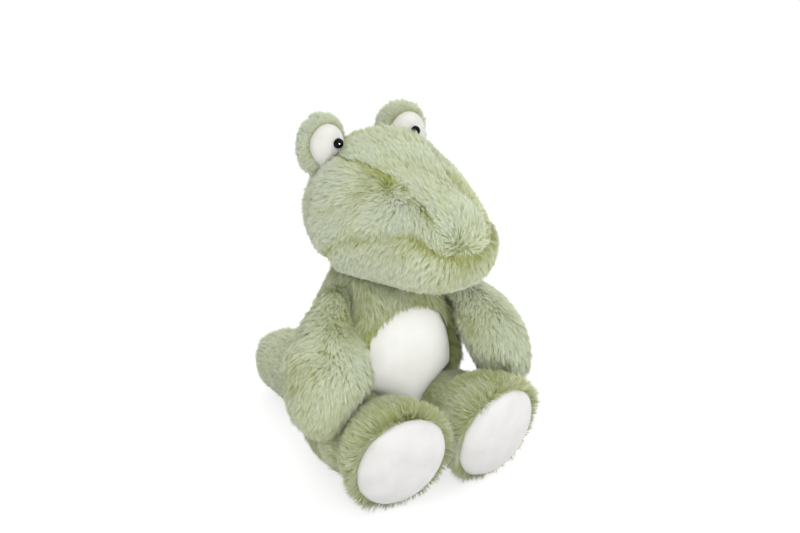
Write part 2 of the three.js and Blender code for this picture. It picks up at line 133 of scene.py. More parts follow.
def dress(mesh, material):  # one finish, shaded smoothly
    mesh.materials.clear()
    mesh.materials.append(material)
    mesh.polygons.foreach_set("use_smooth", np.ones(len(mesh.polygons), bool))


def newPiece(name, points, faces):
    mesh = bpy.data.meshes.new(name)
    mesh.from_pydata(np.asarray(points).tolist(), [], [list(map(int, face)) for face in faces])
    return addPiece(name, mesh)


def rowsOf(items, field, kind=float):  # three values for each item
    values = np.empty(len(items) * 3, kind)
    items.foreach_get(field, values)
    return values.reshape(-1, 3)


def meshTriangles(mesh):
    mesh.calc_loop_triangles()
    return rowsOf(mesh.vertices, "co"), rowsOf(mesh.loop_triangles, "vertices", np.int32)


def meshNormals(mesh):
    return rowsOf(mesh.vertex_normals, "vector", np.float32).astype(float)


def nodeTriangles(names):  # the triangles of some CAD nodes, as one list
    points, faces, start = [], [], 0
    for name in names:
        own, corners = meshTriangles(frame["nodes"][name].data)
        points.append(own)
        faces.append(corners + start)
        start += len(own)
    return np.concatenate(points), np.concatenate(faces)


def treeOf(points, faces):
    return BVHTree.FromPolygons(points.tolist(), faces.tolist())


def bakedMesh(piece):  # the mesh of a piece with its modifiers done
    return bpy.data.meshes.new_from_object(piece.evaluated_get(bpy.context.evaluated_depsgraph_get()))


# finishes

def finish(name, look):
    material = bpy.data.materials.new(name)
    material.use_nodes = True
    nodes, links = material.node_tree.nodes, material.node_tree.links
    shader = nodes["Principled BSDF"]
    shader.inputs["Roughness"].default_value = look["roughness"]
    shader.inputs["Specular IOR Level"].default_value = look["specular"]
    if "sheen" in look:
        weight, spread = look["sheen"]
        shader.inputs["Sheen Weight"].default_value = weight
        shader.inputs["Sheen Roughness"].default_value = spread
    return material, nodes, links, shader


def ramp(nodes, stops):
    node = nodes.new("ShaderNodeValToRGB")
    elements = node.color_ramp.elements
    while len(elements) < len(stops):
        elements.new(0.5)
    for element, (place, colour) in zip(elements, stops):
        element.position = place
        element.color = colour
    return node


def noise(nodes, links, scale, detail, rough=0.5):
    place = nodes.new("ShaderNodeTexCoord")
    node = nodes.new("ShaderNodeTexNoise")
    node.inputs["Scale"].default_value = scale
    node.inputs["Detail"].default_value = detail
    node.inputs["Roughness"].default_value = rough
    links.new(place.outputs["Object"], node.inputs["Vector"])
    return node.outputs["Fac"]


def mottle(nodes, links, height, shader, stops):  # the colour follows a noise
    colour = ramp(nodes, stops)
    links.new(height, colour.inputs["Fac"])
    links.new(colour.outputs["Color"], shader.inputs["Base Color"])


def bump(nodes, links, height, shader, strength, distance):
    node = nodes.new("ShaderNodeBump")
    node.inputs["Strength"].default_value = strength
    node.inputs["Distance"].default_value = distance
    links.new(height, node.inputs["Height"])
    links.new(node.outputs["Normal"], shader.inputs["Normal"])


# long pile: the map holds the shade of a strand across, painted shade and light included, and root to tip
# upwards
longPileLook = {
    "roughness": 0.75, "specular": 0.0,
    "sheen": (0.15, 0.5),  # weight, roughness
    "rootToTip": [(0.0, tint(155, 166, 95)), (0.3, tint(208, 215, 168)), (0.7, tint(235, 240, 217)),
                  (1.0, tint(246, 249, 234))],
    "shades": [(0.0, tint(194, 196, 130)), (0.5, tint(241, 243, 233)), (1.0, tint(244, 248, 254))],
}


def makeLongPile():
    material, nodes, links, shader = finish("longPile", longPileLook)
    place = nodes.new("ShaderNodeUVMap")
    place.uv_map = "OFBake"
    split = nodes.new("ShaderNodeSeparateXYZ")
    links.new(place.outputs["UV"], split.inputs["Vector"])
    along = ramp(nodes, longPileLook["rootToTip"])
    shade = ramp(nodes, longPileLook["shades"])
    links.new(split.outputs["Y"], along.inputs["Fac"])
    links.new(split.outputs["X"], shade.inputs["Fac"])
    mix = nodes.new("ShaderNodeMix")
    mix.data_type = "RGBA"
    mix.blend_type = "MULTIPLY"
    mix.inputs["Factor"].default_value = 1
    links.new(along.outputs["Color"], mix.inputs["A"])
    links.new(shade.outputs["Color"], mix.inputs["B"])
    links.new(mix.outputs["Result"], shader.inputs["Base Color"])
    return material


# the knitted ground that the pile stands in
groundLook = {
    "roughness": 0.95, "specular": 0.1, "knit": 900,
    "colours": [(0.3, tint(168, 177, 120)), (0.7, tint(190, 197, 146))],
    "relief": (0.5, 0.0008),  # strength, metres
}


def makeGround():
    material, nodes, links, shader = finish("pileGround", groundLook)
    knit = noise(nodes, links, groundLook["knit"], 3)
    mottle(nodes, links, knit, shader, groundLook["colours"])
    bump(nodes, links, knit, shader, *groundLook["relief"])
    return material


shortPileLook = {"roughness": 0.9, "specular": 0.07, "sheen": (0.3, 0.4), "pile": 1400, "nap": 60,
                 "relief": (0.35, 0.0006)}


def makeShortPile(name, dull, bright):  # the two tints of its nap
    material, nodes, links, shader = finish(name, shortPileLook)
    pile = noise(nodes, links, shortPileLook["pile"], 4, 0.6)
    nap = noise(nodes, links, shortPileLook["nap"], 3)
    mottle(nodes, links, nap, shader, [(0.3, dull), (0.7, bright)])
    bump(nodes, links, pile, shader, *shortPileLook["relief"])
    return material


eyeLook = {"roughness": 0.08, "specular": 0.1, "cloud": (700, 2),  # scale, detail
           "colours": [(0.35, tint(2, 2, 3)), (0.7, tint(6, 6, 7))]}
washerLook = {"roughness": 0.5, "specular": 0.4, "cloud": (500, 3),
              "colours": [(0.3, tint(205, 204, 196)), (0.7, tint(222, 221, 214))]}


def makePlastic(name, look):
    material, nodes, links, shader = finish(name, look)
    mottle(nodes, links, noise(nodes, links, *look["cloud"]), shader, look["colours"])
    return material


longPile, pileGround = makeLongPile(), makeGround()
shortPile = makeShortPile("shortPile", tint(221, 219, 217), tint(229, 228, 227))
# painted light: the soles' short pile, made paler on the belly, which the head and arms shade
bellyWhitePaintedLight = makeShortPile("bellyWhitePaintedLight", tint(246, 245, 241), tint(252, 251, 248))
eyeWhite = makeShortPile("eyeWhite", tint(220, 218, 212), tint(230, 228, 223))
eyeBlack, washerWhite = makePlastic("eyeBlack", eyeLook), makePlastic("washerWhite", washerLook)
print("finishes made")

# camera and room

viewpoint = {"turn": -34.8, "rise": 18.8, "distance": 1.150, "aim": (0.0207, 0.0, 0.1579), "lens": 65.7,
             "sensor": 36}


def makeCamera():
    turn, rise = math.radians(viewpoint["turn"]), math.radians(viewpoint["rise"])
    back = Vector((math.sin(turn) * math.cos(rise), -math.cos(turn) * math.cos(rise), math.sin(rise)))
    data = bpy.data.cameras.new("camera")
    data.lens = viewpoint["lens"]
    data.sensor_width = viewpoint["sensor"]
    camera = addPiece("camera", data)
    camera.location = Vector(viewpoint["aim"]) + back * viewpoint["distance"]
    camera.rotation_euler = (-back).to_track_quat("-Z", "Y").to_euler()
    scene.camera = camera


lampAim = (0, -0.02, 0.13)
lamps = [  # a lamp with glintOnly shows in gloss alone, for the eyes
    {"name": "keyLamp", "at": (-0.72, -1.35, 0.9), "size": 0.6, "power": 10.2},
    {"name": "glintLamp", "at": (-0.33, -1.6, 0.3), "size": 0.6, "power": 400, "glintOnly": True},
    {"name": "fillLamp", "at": (1.4, -1.1, 0.8), "size": 1.4, "power": 6.2},
    {"name": "topLamp", "at": (0.0, 0.0, 1.9), "size": 1.8, "power": 6.2},
    {"name": "backLamp", "at": (0.9, 1.5, 1.0), "size": 1.4, "power": 6},
]


def makeLamp(lamp):
    data = bpy.data.lights.new(lamp["name"], "AREA")
    data.size = lamp["size"]
    data.energy = lamp["power"]
    light = addPiece(lamp["name"], data)
    light.location = lamp["at"]
    light.visible_camera = False
    light.visible_diffuse = not lamp.get("glintOnly")
    aim = Vector(lampAim) - light.location
    light.rotation_euler = aim.to_track_quat("-Z", "Y").to_euler()


def seenRays(nodes, links):  # 1 for what the camera sees, straight or in gloss and glass
    path = nodes.new("ShaderNodeLightPath")
    seen = path.outputs["Is Camera Ray"]
    for ray in ("Is Glossy Ray", "Is Transmission Ray"):
        either = nodes.new("ShaderNodeMath")
        either.operation = "MAXIMUM"
        links.new(seen, either.inputs[0])
        links.new(path.outputs[ray], either.inputs[1])
        seen = either.outputs[0]
    return seen


roomLight = 0.66  # what falls on the toy, while the camera sees plain white


def makeWorld():
    world = bpy.data.worlds.new("room")
    scene.world = world
    world.use_nodes = True
    nodes, links = world.node_tree.nodes, world.node_tree.links
    light = nodes["Background"]
    light.inputs["Color"].default_value = grey(1)
    light.inputs["Strength"].default_value = roomLight
    white = nodes.new("ShaderNodeBackground")
    white.inputs["Color"].default_value = grey(1)
    mix = nodes.new("ShaderNodeMixShader")
    links.new(seenRays(nodes, links), mix.inputs["Fac"])
    links.new(light.outputs[0], mix.inputs[1])
    links.new(white.outputs[0], mix.inputs[2])
    links.new(mix.outputs[0], nodes["World Output"].inputs["Surface"])


floorLook = {"half": 3.0, "unseen": 0.8, "seen": 0.42, "glow": 0.725}  # metres, then tones


def makeFloor():  # the camera sees a darker floor that glows, so that its shadows stay soft and pale
    half = floorLook["half"]
    corners = [(-half, -half, 0), (half, -half, 0), (half, half, 0), (-half, half, 0)]
    floor = newPiece("floor", corners, [(0, 1, 2, 3)])
    material = bpy.data.materials.new("paleFloor")
    material.use_nodes = True
    nodes, links = material.node_tree.nodes, material.node_tree.links
    nodes.remove(nodes["Principled BSDF"])
    seen = seenRays(nodes, links)
    tone = nodes.new("ShaderNodeMix")
    tone.data_type = "RGBA"
    tone.inputs["A"].default_value = grey(floorLook["unseen"])
    tone.inputs["B"].default_value = grey(floorLook["seen"])
    links.new(seen, tone.inputs["Factor"])
    matt = nodes.new("ShaderNodeBsdfDiffuse")
    links.new(tone.outputs["Result"], matt.inputs["Color"])
    glow = nodes.new("ShaderNodeEmission")
    glow.inputs["Color"].default_value = grey(floorLook["glow"])
    links.new(seen, glow.inputs["Strength"])
    both = nodes.new("ShaderNodeAddShader")
    links.new(matt.outputs[0], both.inputs[0])
    links.new(glow.outputs[0], both.inputs[1])
    links.new(both.outputs[0], nodes["Material Output"].inputs["Surface"])
    floor.data.materials.append(material)


makeCamera()
for lamp in lamps:
    makeLamp(lamp)
makeWorld()
makeFloor()
print("camera and room made")

# skins: one closed shell for each stuffed part, from its CAD panels, blown up as cloth between its seams

shellLook = {
    "voxel": 4.5,      # mm
    "smoothing": 12,   # rounds
    "seam": 3.0,       # mm beside a seam, held in the simulation
    "floor": 3.0,      # mm above the floor, held too
    "frames": 20,
    "cap": 2.6,        # mm, the furthest that the cloth may go
}
clothLook = {  # soft, because the meshes are fine
    "quality": 5,
    "mass": 0.002,
    "air_damping": 1,
    "tension_stiffness": 0.05,
    "compression_stiffness": 0.05,
    "shear_stiffness": 0.03,
    "bending_stiffness": 0.0005,
    "tension_damping": 0.05,
    "compression_damping": 0.05,
    "shear_damping": 0.03,
    "bending_damping": 0.01,
    "use_pressure": True,
    "uniform_pressure_force": 12.0,
}
jointPlaces = {joint["name"]: np.array(joint["pos_m"], float) for joint in frame["joints"]}
jointCover = {  # mm round each joint, held in the simulation and bare where a neighbour is close
    "head_turn": 24,
    "arm_lift_left": 19, "arm_lift_right": 19,
    "leg_lift_left": 28, "leg_lift_right": 28,
    "tail_wag": 26,
}
skins = {}


def panelGaps(panels, points):  # how far each point is from each panel
    gaps = np.empty((len(panels), len(points)))
    for row, panel in enumerate(panels):
        tree = treeOf(*nodeTriangles([panel]))
        gaps[row] = [tree.find_nearest(point)[3] for point in points.tolist()]
    return gaps


def nearJoint(points):
    covered = np.zeros(len(points), bool)
    for name, reach in jointCover.items():
        covered |= np.linalg.norm(points - jointPlaces[name], axis=1) < reach * mm
    return covered


def placePoints(mesh, points):
    mesh.vertices.foreach_set("co", points.ravel())
    mesh.update()


def makeShell(skin):
    shell = newPiece(skin.name + "Shell", *nodeTriangles(skin.panels + [skin.filling]))
    remesh = shell.modifiers.new("remesh", "REMESH")
    remesh.mode = "VOXEL"
    remesh.voxel_size = shellLook["voxel"] * mm
    relax = shell.modifiers.new("relax", "SMOOTH")
    relax.factor = 0.5
    relax.iterations = shellLook["smoothing"]
    shell.data = bakedMesh(shell)
    shell.modifiers.clear()
    points = rowsOf(shell.data.vertices, "co")
    skin.shell = shell
    skin.start = points - meshNormals(shell.data) * (skin.shrink * mm)
    placePoints(shell.data, skin.start)
    held = np.sort(panelGaps(skin.panels, points), 0)[1] < shellLook["seam"] * mm
    held |= nearJoint(points) | (points[:, 2] < shellLook["floor"] * mm)
    group = shell.vertex_groups.new(name="held")
    group.add(np.nonzero(held)[0].tolist(), 1.0, "REPLACE")
    cloth = shell.modifiers.new("cloth", "CLOTH").settings
    for setting, value in clothLook.items():
        setattr(cloth, setting, value)
    cloth.vertex_group_mass = group.name
    cloth.effector_weights.gravity = 0


def settleShells():  # all shells in one run of the simulation
    for step in range(1, shellLook["frames"] + 1):
        scene.frame_set(step)
    cap = shellLook["cap"] * mm
    for skin in skins.values():
        blown = rowsOf(bakedMesh(skin.shell).vertices, "co") - skin.start
        far = np.linalg.norm(blown, axis=1, keepdims=True)
        skin.start = skin.start + blown * (cap / np.maximum(far, cap))
        mean, most = round(float(far.mean() / mm), 2), round(float(far.max() / mm), 2)
        print(skin.name, "blown up by", mean, "mm, at most", most)
        skin.shell.modifiers.clear()
        placePoints(skin.shell.data, skin.start)
    scene.frame_set(1)


def addSkin(key, name, body, panels, filling, shrink=0.6):  # shrink in mm, before it is blown up
    skins[key] = SimpleNamespace(name=name, body=body, panels=panels, filling=filling, shrink=shrink)
    makeShell(skins[key])


addSkin("body", "body_ground", "body", ["body_cover", "belly_panel"], "body_filling")
addSkin("head", "head_ground", "head", ["head_gusset", "head_side_left", "head_side_right", "jaw_panel"],
        "head_filling")
addSkin("tail", "tail_ground", "tail", ["tail_left", "tail_right"], "tail_filling")
for side, label in bothSides:
    addSkin("mound_" + label, "eye_mound_ground_" + label, "head",
            ["eye_mound_" + label, "eye_face_" + label], "eye_filling_" + label, shrink=0.3)
    addSkin("arm_" + label, "arm_ground_" + label, "arm_" + label,
            ["arm_outer_" + label, "arm_inner_" + label], "arm_filling_" + label)
    addSkin("leg_" + label, "leg_ground_" + label, "leg_" + label,
            ["leg_cover_" + label, "sole_" + label], "leg_filling_" + label)
print("shells made")
settleShells()
print("shells settled")

# the ground sinks to carry the pile, and dips at the seams, with lengths in mm
groundForm = {"sink": 2.2, "seamDepth": 1.5, "seamWidth": 4.5, "overFloor": 0.6, "swells": []}
moundForm = {"sink": 3.0}
headForm = {
    "seamDepth": (0.4, 1.5, 2.8, 1.9),  # gusset, left side, right side, jaw
    "seamWidth": 6.0,
    "swells": [((22, -14, 260), 16, 2.2), ((-22, -62, 168), 44, -3.0)],  # place, reach, height
    "calm": {  # the seams lie flat round the nose, are shallow low down and even behind
        "place": (0, -114, 206), "reach": (15, 50),
        "low": (205, 228), "lowShare": 0.35,
        "behind": (0, 30), "behindDepth": 1.0,
    },
    "mouth": {  # its line fades out along the cheek and at some spots, as if it were further off
        "panel": "jaw_panel", "depth": 2.0, "width": 5,
        "cheek": (62, 92), "cheekFade": 9,
        "fades": [((34, -98, 212), 28, 9), ((12, -113, 205), 15, 4)],  # place, reach, amount
    },
}
noMouth = 99.0  # mm, for points with no mouth line near them


def mouthGap(skin, gaps, spots, mouth):  # how far the mouth line is
    deep = skin.panels.index(mouth["panel"])
    others = np.delete(gaps, deep, 0).min(0)
    gap = np.where(skin.panel == deep, others, gaps[deep])
    gap += mouth["cheekFade"] * (1 - smoothStep(-spots[:, 1], *mouth["cheek"]))
    for place, reach, amount in mouth["fades"]:
        gap += amount * near(spots, place, reach)[:, 0]
    return gap


def seamDips(skin, spots, form):
    depth = np.broadcast_to(form["seamDepth"], len(skin.panels))[skin.panel]
    if "calm" in form:
        calm = form["calm"]
        depth = depth * smoothStep(gapTo(spots, calm["place"])[:, 0], *calm["reach"])
        depth = depth * (calm["lowShare"] + (1 - calm["lowShare"]) * smoothStep(spots[:, 2], *calm["low"]))
        depth = blend(depth, calm["behindDepth"], smoothStep(spots[:, 1], *calm["behind"]))
    dips = depth * bell(skin.seam, form["seamWidth"])
    if "mouth" in form:
        dips = np.maximum(dips, form["mouth"]["depth"] * bell(skin.mouth, form["mouth"]["width"]))
    return dips


def finishSkin(skin, ownForm):
    form = {**groundForm, **ownForm}
    skin.shell.modifiers.new("finer", "SUBSURF").levels = 1
    mesh = bakedMesh(skin.shell)
    bpy.data.objects.remove(skin.shell)
    skin.outer, normals = rowsOf(mesh.vertices, "co"), meshNormals(mesh)
    for place, reach, height in form["swells"]:  # fuller or flatter spots of the stuffing
        skin.outer = skin.outer + normals * near(skin.outer / mm, place, reach) * (height * mm)

    # which panel each point belongs to, and how far the next seam is
    spots = skin.outer / mm
    gaps = panelGaps(skin.panels, skin.outer) / mm
    skin.panel = gaps.argmin(0)
    skin.seam = np.sort(gaps, 0)[1]
    skin.mouth = np.full(len(spots), noMouth)
    if "mouth" in form:
        skin.mouth = mouthGap(skin, gaps, spots, form["mouth"])
    depth = form["sink"] + seamDips(skin, spots, form)
    points = skin.outer - normals * (depth * mm)[:, None]
    points[:, 2] = np.maximum(points[:, 2], form["overFloor"] * mm)
    placePoints(mesh, points)
    skin.points, skin.faces = meshTriangles(mesh)
    skin.normals = meshNormals(mesh)
    skin.tree = treeOf(skin.points, skin.faces)
    ground = addPiece(skin.name, mesh)
    dress(mesh, pileGround)
    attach(ground, skin.body)
    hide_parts(skin.filling)
    print(skin.name, "of", len(skin.points), "points")


for key, skin in skins.items():
    finishSkin(skin, {"head": headForm, "mound_left": moundForm, "mound_right": moundForm}.get(key, {}))

# room for the pile between neighbours, and what a joint or the floor always hides
pileRoom = {"reach": 24.0, "jointGap": 10, "floorGap": 5, "facingDown": -0.85}  # mm, and the z of a normal


def findRoom(skin):
    reach = pileRoom["reach"]
    skin.room = np.full(len(skin.points), reach)
    for other in skins.values():
        if other is skin:
            continue
        low, high = other.points.min(0) - (reach + 1) * mm, other.points.max(0) + (reach + 1) * mm
        close = np.nonzero(((skin.points > low) & (skin.points < high)).all(1))[0]
        for index in close:
            hit = other.tree.ray_cast(Vector(skin.points[index]), Vector(skin.normals[index]), reach * mm)
            if hit[0] is not None:
                skin.room[index] = min(skin.room[index], hit[3] / mm)
    hidden = nearJoint(skin.points) & (skin.room < pileRoom["jointGap"])
    lowDown = skin.points[:, 2] < pileRoom["floorGap"] * mm
    hidden |= lowDown & (skin.normals[:, 2] < pileRoom["facingDown"])
    skin.hidden = hidden.astype(float)


for skin in skins.values():
    findRoom(skin)
print("room for the pile measured")

# pile: strands with a bent flat blade each, gathered in wisps


def nowhere(points):
    return np.zeros(len(points))


def everywhere(points):
    return np.ones(len(points))


pileLook = {
    "perSquareMm": 4.0,
    "length": 9.5,        # mm
    "uneven": 0.14,       # share of the length
    "wisp": 8,            # strands in a wisp
    "gather": 0.28,       # how far a wisp draws together
    "leanRoot": 46,       # degrees from straight up
    "leanTip": 80,
    "stray": 0.09,        # how far strands leave the comb
    "rimStand": 0.0,      # how far it stands up beside a seam
    "fluff": 0.0,         # and in a narrow gap
    "seamTrim": 0.15,     # share of the length lost at a seam
    "mouthTrim": 0.4,     # at the mouth line
    "press": 0.5,         # and on the floor
    "seamBare": 0.0,      # mm left free beside a seam
    "shade": 0.0,         # how much paler it is; on the jaw, tail and left arm painted light where the lamps reach less
    "seamPaintedShade": 0.2,     # painted shade in the crease of a seam, how much darker it is there; below 0 paler
    "ridgePaintedShade": 0.0,    # painted shadow that the edge of the gusset casts on the cheek, in front of the eyes; below 0 painted light on that edge
    "paleRim": 0.0,       # how far the roots pale beside a seam
    "ruffleAt": nowhere,  # values for each root, from its place in mm
    "lengthAt": everywhere,
    "shadeAt": nowhere,
}
combLook = {  # alike on all pieces, like the two below
    "wander": (26, 3, 0.2),      # size in mm, seed and strength of slow changes of the direction
    "patches": (34, 5, 6),       # the same of the lean, in degrees
    "stray": (0.9, 0.6),         # shares of the stray, by wisp and by strand
    "lift": (4, 5),              # degrees, by wisp and by strand
    "uneven": (1, 0.7),          # shares of the unevenness, by wisp and by strand
    "leastLaid": 0.2,
    "rimReach": 9,               # mm from a seam
    "fluffGap": (0, 8),          # mm missing from full room
    "rootLean": (3, 80),         # limits in degrees
    "tipLean": (8, 91),
    "tipLift": 1.2,              # times the lift of the root
    "lengths": (0.45, 1.5),      # limits
    "trimReach": 6,              # mm from a seam or the mouth line
    "mostTrim": 0.6,
    "fullRoom": 8,               # mm, less makes it shorter
    "leastInGap": 0.3,
    "pressHeight": (1, 16),      # mm over the floor
    "ruffleTrim": 0.25,
}
bladeLook = {
    "rootWidth": 0.38,           # mm
    "middleWidth": 0.32,
    "corners": 5,                # two at the root, two at the middle and the tip
    "overFloor": (0.35, 0.25),   # mm, the middle and the tip
    "pull": (0.6, 1.25),         # limits, times the gather
    "middlePull": (0.75, 0.45),  # spread that is left in a wisp, and share of the pull
    "tipPull": (0.25, 0.95),     # spread that is left, and limit of the pull
    "roll": 0.5,                 # radians about its own length
    "softness": (0.85, 0.3),     # shares of the cloth and of the blade in the shading
    "mapWidth": 0.003,
}
shadeLook = {
    "middle": 0.5,
    "tone": (0.1, 0.09),         # by wisp and by strand
    "clouds": (40, 8, 0.15),     # size in mm, seed and strength
    "seamReach": 6,              # mm
    "mouth": 0.3,                # painted shadow along the mouth line, under the cheek pile that hangs over it
    "mouthReach": 4,
    "standing": 0.12,            # painted shade of the deep pile, where it stands up and, below, in ruffled spots
    "ruffle": 0.25,
    # painted shadow along the gusset's edge: its reach in mm, then how far from the mouth line and how far
    # forward it shows
    "ridgeReach": 7,
    "ridgeFromMouth": (8, 16),
    "ridgeAhead": (-10, 25),
    "limits": (0.02, 0.96),
    "rootPlace": 0.02,           # where the colour from root to tip begins
    "paleReach": 8,
}


def pickRoots(skin, panel, look, part):  # spread evenly over a panel, or over a part of it
    inPanel = (skin.panel[skin.faces] == skin.panels.index(panel)).sum(1) >= 2  # two corners or all
    faces = skin.faces[inPanel]
    a, b, c = (skin.points[faces[:, i]] for i in range(3))
    areas = np.linalg.norm(np.cross(b - a, c - a), axis=1) / 2
    count = int(areas.sum() / mm ** 2 * look["perSquareMm"])
    picked = faces[rng.choice(len(faces), count, p=areas / areas.sum())]
    first, second = np.sqrt(rng.random(count)), rng.random(count)
    weights = np.stack([1 - first, first * (1 - second), first * second], -1)

    def between(values):  # the value at each root, from the corners of its face
        return (values[picked] * (weights[..., None] if values.ndim > 1 else weights)).sum(1)

    roots, seam = between(skin.points), between(skin.seam)
    keep = (between(skin.hidden) < 0.5) & (seam > look["seamBare"])
    if part:
        keep &= part(roots / mm)
    return SimpleNamespace(
        roots=roots[keep], spots=roots[keep] / mm, normals=unit(between(skin.normals))[keep], seam=seam[keep],
        mouth=between(skin.mouth)[keep], room=between(skin.room)[keep], count=int(keep.sum()))


def gatherWisps(strands, look):  # each strand follows the nearest of some that lead
    strands.wisps = strands.count // look["wisp"]
    leaders = rng.choice(strands.count, strands.wisps, replace=False)
    tree = KDTree(strands.wisps)
    for index, leader in enumerate(leaders):
        tree.insert(strands.roots[leader], index)
    tree.balance()
    strands.wisp = np.array([tree.find(root)[1] for root in strands.roots.tolist()])
    strands.lead = leaders[strands.wisp]


def vary(strands, byWisp, byStrand, *width):  # chance that a wisp shares, and chance of each strand
    shared = rng.normal(0, byWisp, (strands.wisps, *width))[strands.wisp]
    return shared + rng.normal(0, byStrand, (strands.count, *width))


def slow(strands, size, seed, strength):  # slow changes over the cloth
    return waves(strands.spots, size, seed) * strength


def combStrands(strands, combField, look):  # direction along the cloth, lean and length
    comb = combField(strands.spots)
    laid = np.clip(np.linalg.norm(comb, axis=1), combLook["leastLaid"], 1)  # a weak comb leaves it standing
    laid = laid * (1 - look["rimStand"] * bell(strands.seam, combLook["rimReach"]))
    laid = laid * (1 - look["fluff"] * smoothStep(pileRoom["reach"] - strands.room, *combLook["fluffGap"]))
    ruffle = look["ruffleAt"](strands.spots)  # a mottled, ruffled patch
    byWisp, byStrand = combLook["stray"]
    comb = inCloth(comb, strands.normals) + slow(strands, *combLook["wander"])
    comb = comb + vary(strands, look["stray"] * byWisp, look["stray"] * byStrand, 3)
    comb = comb + rng.normal(0, 1, (strands.wisps, 3))[strands.wisp] * ruffle[:, None]
    strands.comb, strands.laid, strands.ruffle = inCloth(comb, strands.normals), laid, ruffle

    lift = slow(strands, *combLook["patches"])[:, 0] + vary(strands, *combLook["lift"])
    tipLift = lift * combLook["tipLift"]
    strands.leanRoot = np.radians(np.clip(look["leanRoot"] * laid + lift, *combLook["rootLean"]))
    strands.leanTip = np.radians(np.clip(look["leanTip"] * laid + tipLift, *combLook["tipLean"]))

    byWisp, byStrand = combLook["uneven"]
    share = 1 + vary(strands, look["uneven"] * byWisp, look["uneven"] * byStrand)
    share = np.clip(share, *combLook["lengths"])
    reach = combLook["trimReach"]
    trim = look["mouthTrim"] * bell(strands.mouth, reach) + look["seamTrim"] * bell(strands.seam, reach)
    share *= 1 - np.minimum(trim, combLook["mostTrim"])
    share *= np.clip(strands.room / combLook["fullRoom"], combLook["leastInGap"], 1)
    share *= 1 - look["press"] * (1 - smoothStep(strands.spots[:, 2], *combLook["pressHeight"]))
    share *= 1 - combLook["ruffleTrim"] * ruffle
    strands.length = look["length"] * mm * share * look["lengthAt"](strands.spots)


def bendStrands(strands, look):  # the middle and the tip of each strand, drawn towards the one that leads
    def half(lean):
        ways = strands.normals * np.cos(lean)[:, None] + strands.comb * np.sin(lean)[:, None]
        return ways * (strands.length / 2)[:, None]

    middle = strands.roots + half(strands.leanRoot)
    tip = middle + half(strands.leanTip)
    pull = look["gather"] * rng.uniform(*bladeLook["pull"], strands.count)
    offset = strands.roots - strands.roots[strands.lead]
    spread, share = bladeLook["middlePull"]
    middle += (middle[strands.lead] + offset * spread - middle) * (pull * share)[:, None]
    spread, limit = bladeLook["tipPull"]
    tip += (tip[strands.lead] + offset * spread - tip) * np.clip(pull, 0, limit)[:, None]
    for end, low in zip((middle, tip), bladeLook["overFloor"]):
        end[:, 2] = np.maximum(end[:, 2], low * mm)
    strands.middle, strands.tip = middle, tip


def cutBlades(strands):  # a flat blade for each strand, turned mostly outwards
    roots, middle, tip, normals = strands.roots, strands.middle, strands.tip, strands.normals
    run = unit(tip - roots)
    across = unit(np.cross(run, normals))
    roll = rng.normal(0, bladeLook["roll"], strands.count)[:, None]
    across = across * np.cos(roll) + unit(np.cross(across, run)) * np.sin(roll)
    face = unit(np.cross(across, run))
    face *= np.sign(dot(face, normals) + 1e-9)
    atRoot = across * (bladeLook["rootWidth"] / 2 * mm)
    atMiddle = across * (bladeLook["middleWidth"] / 2 * mm)
    blades = np.stack([roots - atRoot, roots + atRoot, middle + atMiddle, middle - atMiddle, tip], 1)
    inwards = dot(np.cross(atRoot, middle - roots), normals)[:, 0] < 0
    blades[inwards] = blades[inwards][:, [1, 0, 3, 2, 4]]
    ofCloth, ofBlade = bladeLook["softness"]
    strands.blades, strands.soft = blades, unit(normals * ofCloth + face * ofBlade)


def shadeStrands(strands, look):  # wisps differ at random; painted shade makes seams, the mouth line, the gusset's edge and standing or ruffled pile darker, and some looks are painted paler
    seam, mouth = strands.seam, strands.mouth
    shade = shadeLook["middle"] + vary(strands, *shadeLook["tone"])
    shade += slow(strands, *shadeLook["clouds"])[:, 0]
    shade -= look["seamPaintedShade"] * bell(seam, shadeLook["seamReach"])
    shade -= shadeLook["mouth"] * bell(mouth, shadeLook["mouthReach"])
    shade -= shadeLook["standing"] * (1 - strands.laid) + shadeLook["ruffle"] * strands.ruffle
    ridge = bell(seam, shadeLook["ridgeReach"]) * smoothStep(mouth, *shadeLook["ridgeFromMouth"])
    ridge = ridge * smoothStep(-strands.spots[:, 1], *shadeLook["ridgeAhead"])
    shade += look["shade"] + look["shadeAt"](strands.spots) - look["ridgePaintedShade"] * ridge
    strands.shade = np.clip(shade, *shadeLook["limits"])
    strands.rootPlace = shadeLook["rootPlace"] + look["paleRim"] * bell(seam, shadeLook["paleReach"])


